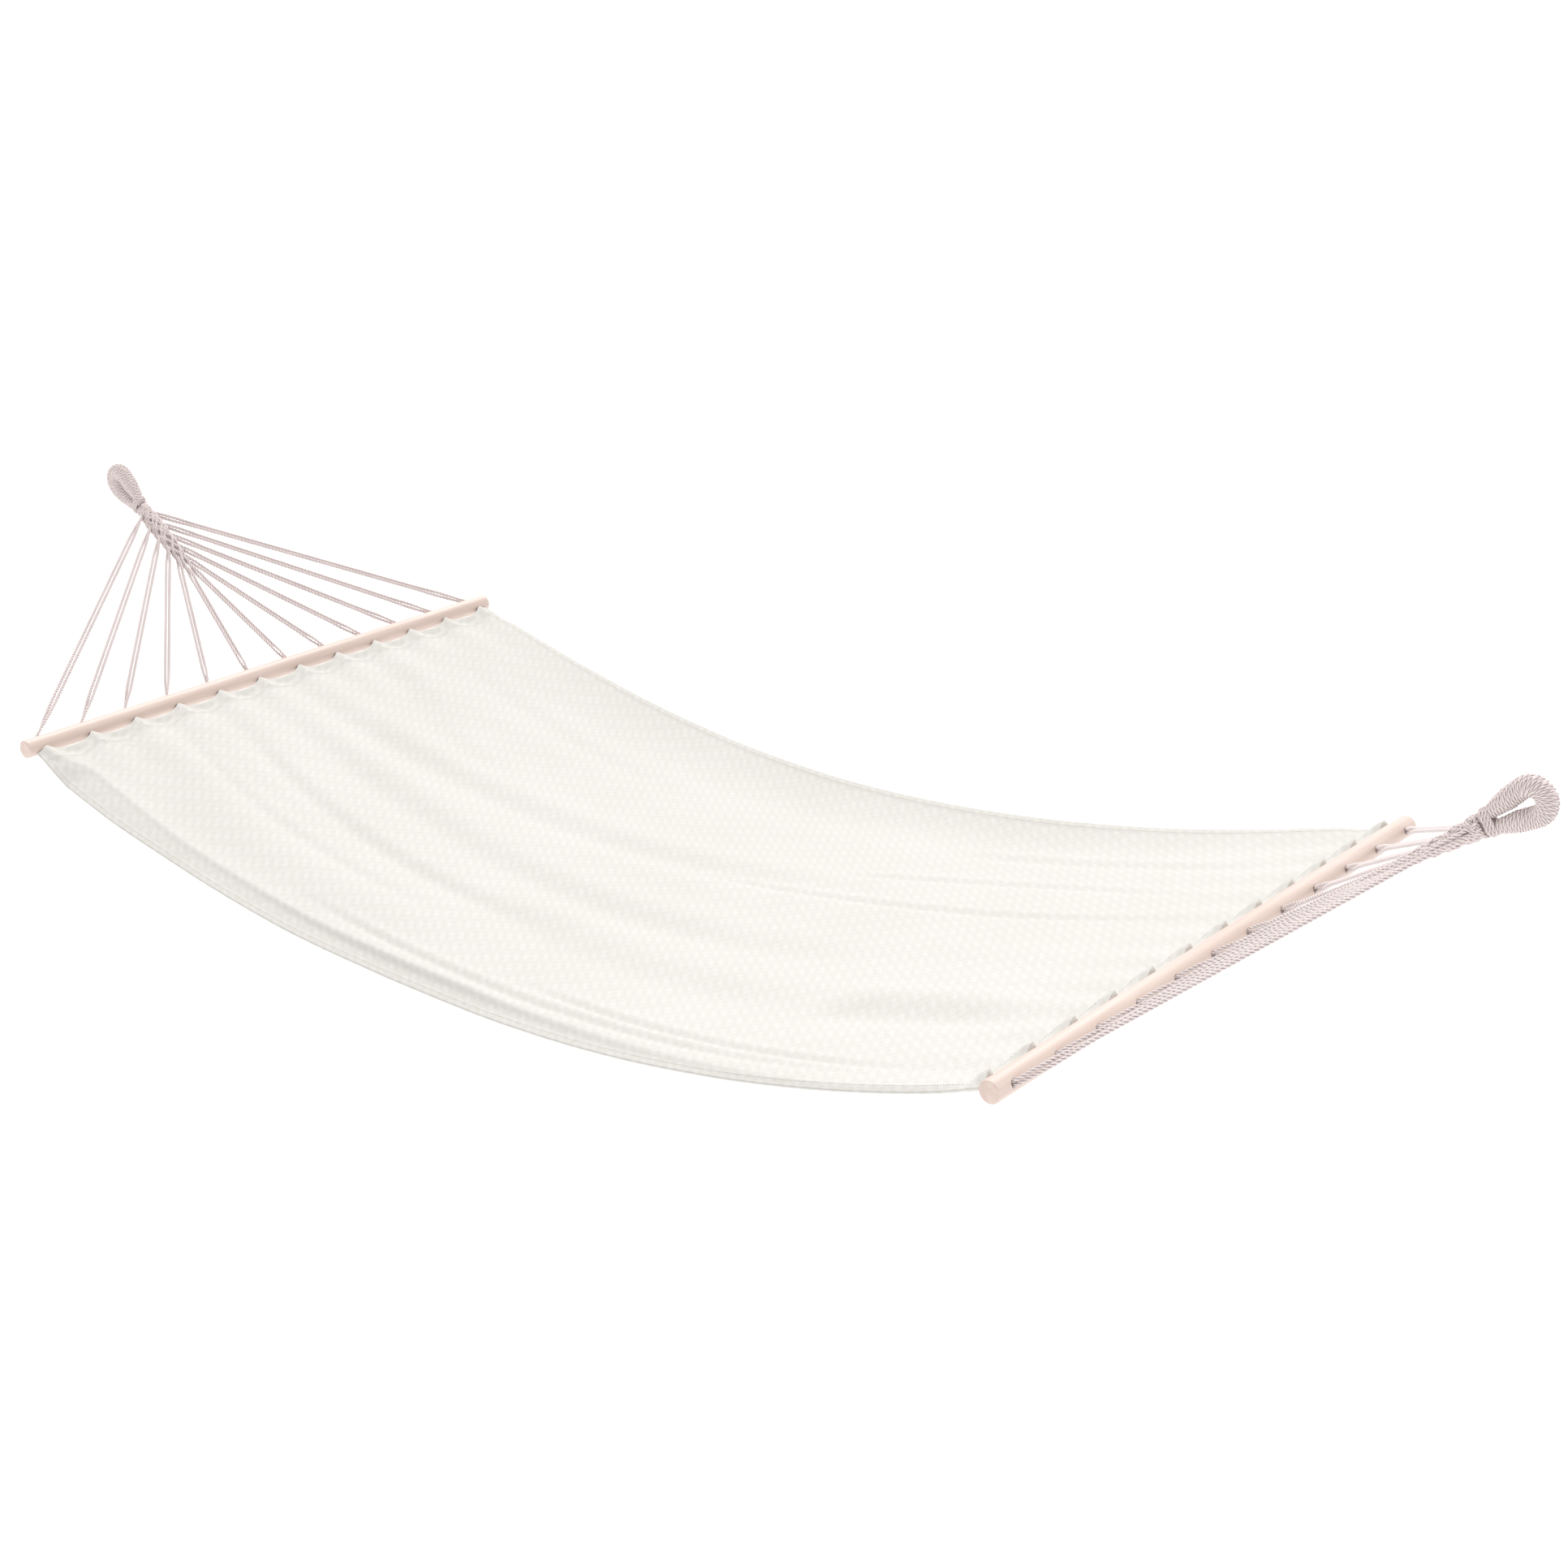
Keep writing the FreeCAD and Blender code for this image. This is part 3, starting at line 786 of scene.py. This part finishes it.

# %% [markdown]
# ## The clews
#
# A clew is the fan of cords from a bar to its eye. Each of the twelve is doubled: its two strands run
# straight and close together up to the neck. There they part, and one goes over the neck and the other
# under it, again and again, so that all twenty-four strands make a round plait. The cords from the bar's
# ends come in last, just below the eye.
#
# Real plaiting would be hard to simulate and easy to get wrong. Instead each strand's line is written down
# directly: straight, then round an oval that has the neck's width and height at that distance, rising and
# dipping as it meets the strands that go the other way. A rope is then laid along that line. Each cord
# bends in a short stretch beside the bar, where it leaves the bed's line for the clew's.

# %% The neck's shape
eye_low, eye_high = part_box("left_eye_core")
neck_top = (seizing_foot - mouth).dot(clew_way) - turn_clearance
neck_length = 0.150
core_radius = (eye_high.y - eye_low.y) / 2
limb_half = 0.0078            # from the clew's middle line to the middle of each limb of the eye, at its foot
neck_marks = [0.0, 0.35, 0.70, 1.0]
neck_heights = [0.0048, core_radius, 1.5 * core_radius, limb_half + core_radius]
neck_widths = [core_radius, 1.9 * core_radius, 2.1 * core_radius, 1.1 * core_radius]


def neck_size(u):
    """Half the neck's height and half its width at a distance up the clew."""
    share = (u - neck_top + neck_length) / neck_length
    return np.interp(share, neck_marks, neck_heights), np.interp(share, neck_marks, neck_widths)


entry_first = 0.012           # from the seizing down to where the outermost cords come in
entry_step = (neck_length - 0.018) / (hole_count / 2 - 1)
aim_aside = 0.003             # how far beside the clew's middle line each cord aims
plait_inset = 0.0016          # from the neck's outline in to a strand's middle
plait_wave = 0.0012           # how far a strand rises and dips as it meets the others
print("neck from", round(neck_top - neck_length, 3), "to", round(neck_top, 3), "m up the clew")

# %% A strand's line
turn_rate = math.radians(75) / entry_step
cord_swell = 0.0005           # a soft cord is that much thicker where no hole squeezes it


def swollen(marks):
    return cord_radius + cord_swell * smooth((marks - 2 * bar_radius) / 0.02)


def strand_route(v, over):
    """A strand from inside the bar to the seizing; over is 1 where it first goes over the neck, -1 under."""
    rank = round((outer_hole - abs(v)) / hole_pitch)
    side = math.copysign(1, v)
    entry = neck_top - entry_first - rank * entry_step
    aim = on_clew(entry, 0, side * aim_aside)
    start = on_clew(0, 0, v)
    meet = 1.0
    for _ in range(20):
        place = start.lerp(aim, meet)
        width = neck_size((place - mouth).dot(clew_way))[1]
        meet = 1 - max(0.0, width - cord_radius - aim_aside) / (abs(v) - aim_aside)
    touch = start.lerp(aim, meet)
    beside = (touch - start).normalized().cross(clew_up)
    line = [on_hem(s, over * strand_half, v) for s in (0.004 - bar_radius, -bar_radius - 0.001)]
    for t in np.linspace(0.03, 1.0, 30):
        quarter = math.pi / 2 * smooth((t - 0.02) / 0.16) * (1 - smooth((t - 0.86) / 0.14))
        apart = clew_up * math.cos(quarter) + beside * math.sin(quarter)
        line.append(start.lerp(touch, t) + apart * (over * (strand_half + cord_swell * smooth(t / 0.1))))
    touch_u = (touch - mouth).dot(clew_way)
    u = touch_u + 0.004
    while u < neck_top - 0.0015:
        height, width = neck_size(u)
        turned = turn_rate * (u - touch_u)
        angle = side * (math.pi / 2 - over * turned)
        rise = over * plait_wave * math.cos(6 * turned + 1.0) - plait_inset
        line.append(on_clew(u, (height + rise) * math.cos(angle), (width + rise) * math.sin(angle)))
        u += 0.002
    return line


outermost = strand_route(outer_hole, 1)
print("a strand of the outermost cord is",
      round(sum((b - a).length for a, b in zip(outermost, outermost[1:])), 3), "m long")

# %% The twelve cords of each clew
for side in ("left", "right"):
    for number, v in enumerate(hole_places, 1):
        routes = {over: eased(at_end(side, strand_route(v, over)), 0.010) for over in (1, -1)}
        strands = [rope(route, swollen, cord_lay, turn=number + over) for over, route in routes.items()]
        made = piece(f"{side}_cord_{number:02d}", *gathered(strands), cord_cotton)
        mark_painted_groove_shade(made)
        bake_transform(made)
        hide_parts(f"{side}_clew_cord_{number:02d}")
print("clew cords made, faces in one:", len(made.data.polygons))

# %% The neck's heart
heart_depth = 0.0042          # from the neck's outline in to what shows between its strands
heart_lump = 0.0005


def heart(side):
    """What shows between the plait's strands: the strands inside it, as one lumpy shape."""
    us = np.linspace(neck_top - neck_length + 0.012, neck_top, 60)
    angles = np.linspace(0, 2 * math.pi, 40, endpoint=False)
    points = []
    for u in us:
        height, width = neck_size(u)
        for a in angles:
            inset = heart_depth - heart_lump * math.cos(10 * a + 260 * (u - us[0]))
            points.append(on_clew(u, (height - inset) * math.cos(a), (width - inset) * math.sin(a)))
    n = len(angles)
    skin = [(i * n + j, i * n + (j + 1) % n, (i + 1) * n + (j + 1) % n, (i + 1) * n + j)
            for i in range(len(us) - 1) for j in range(n)]
    skin += [tuple(range(n))[::-1], tuple(range((len(us) - 1) * n, len(us) * n))]
    return at_end(side, points), skin


# The heart carries no outward mark, so the cord finish paints it all near its shaded colour: painted shade
# for the hollows between the plait's strands.
for side in ("left", "right"):
    made = piece(side + "_neck_heart", *heart(side), cord_cotton)
    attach(made, side + "_clew")
    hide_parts(side + "_clew_weave")
print("necks made")

# %% [markdown]
# ## The eyes
#
# Beyond the neck all the cords turn round in one bundle to make an eye, and twine is wound over the bundle,
# turn against turn, so that a hook can't chafe it. A seizing, a few turns of the same twine round both
# limbs, closes the eye. The winding is what we see, so it is laid as one long twisted twine on a helix
# round the bundle's line. The bundle inside it is the frame's own solid.

# %% The bundle's line
eye_inner = 0.0055             # round of the eye that the hook bears on
whipped_radius = 0.013
limb_gap = 0.0004
bend_radius = eye_inner + whipped_radius
eye_centre = clew_reach - eye_inner
limb_foot = neck_top + turn_clearance
seizing_height = 0.013
far = math.hypot(eye_centre - limb_foot, limb_half)
lean = math.atan2(limb_half, limb_foot - eye_centre) - math.acos(bend_radius / far)
touch_u, touch_n = eye_centre + bend_radius * math.cos(lean), bend_radius * math.sin(lean)
spread = (touch_n - limb_half) / (touch_u - limb_foot)


def bundle_route(start_u):
    """Up one limb, round the hook's place and down the other."""
    foot = limb_half + spread * (start_u - limb_foot)
    bend = [(eye_centre + bend_radius * math.cos(a), bend_radius * math.sin(a))
            for a in np.linspace(lean, -lean, 25)]
    return [on_clew(u, n, 0) for u, n in [(start_u, foot), *bend, (start_u, -foot)]]


print("eye bundle:", round(walk(at_end("left", bundle_route(limb_foot)), 0.001)[0][-1], 3), "m round")

# %% Whipping
twine_radius = 0.0025
full_radius = whipped_radius + 0.0012          # soft twine swells a little over its plain solid
winding_step = 0.0002
first_turn = 0.0016           # from the whipping's foot to the middle of its first turn


def wound(side):
    """The winding twine's line, a helix round the bundle, and the padding under it, a plain tube."""
    foot_u = limb_foot + seizing_height + limb_gap
    marks, places, onwards, sides, ups = walk(at_end(side, bundle_route(foot_u + first_turn)), winding_step)
    reached = foot_u + np.minimum(marks, marks[-1] - marks) / math.hypot(1, spread)
    half_gap = limb_half + spread * (reached - limb_foot) - limb_gap / 2
    radius = np.minimum(full_radius, half_gap) - twine_radius
    bent = smooth((reached - touch_u + 0.012) / 0.012)
    turns = np.concatenate([[0], np.cumsum(winding_step / (twine_radius * (2 - 0.5 * bent[1:])))])
    angle = 2 * math.pi * turns
    line = places + radius[:, None] * (sides * np.cos(angle)[:, None] + ups * np.sin(angle)[:, None])
    some = slice(0, None, 10)
    return line, tube(places[some], onwards[some], sides[some], radius[some], 24)


for side in ("left", "right"):
    line, padding = wound(side)
    twine = rope(line, twine_radius, cord_lay, steps_in_lay=9)
    made = piece(side + "_whipping", *gathered([twine, padding]), wound_cotton)
    # The padding under the twine takes the same marks, so where it shows between the turns it is painted in
    # stripes of shade.
    mark_painted_groove_shade(made)
    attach(made, side + "_eye")
    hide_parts(side + "_eye_whipping")
print("whipping faces:", len(made.data.polygons))

# %% Seizing
sunk_turn = 0.0008            # from the bundle's face to the middle of a turn, which is pulled in tight


def seizing_route(turns=2.9, rise=0.0043):
    """Turns round both limbs, each with two flat sides and two round ends."""
    half_n = limb_half + spread * seizing_height / 2
    reach = core_radius + sunk_turn
    straight, round_end = 2 * half_n, math.pi * reach
    loop = 2 * (straight + round_end)
    line = []
    for way in np.arange(0, turns * loop, 0.0008):
        along = way % loop
        half = along % (straight + round_end)
        if half < straight:
            n, v = half_n - half, reach
        else:
            a = (half - straight) / reach
            n, v = -half_n - reach * math.sin(a), reach * math.cos(a)
        if along >= straight + round_end:
            n, v = -n, -v
        line.append(on_clew(limb_foot + twine_radius + rise * way / loop, n, v))
    return line


for side in ("left", "right"):
    twine = rope(at_end(side, seizing_route()), twine_radius, cord_lay)
    made = piece(side + "_seizing", *twine, wound_cotton)
    mark_painted_groove_shade(made)
    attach(made, side + "_eye")
    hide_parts(side + "_eye_seizing")
    # The bundle's plain solid carries no outward mark either, so the cord finish paints it near its shaded
    # colour: painted shade where it shows between the winding's turns.
    core = frame["nodes"][side + "_eye_core"]
    core.data.materials.clear()
    core.data.materials.append(cord_cotton)
print("seizings made")
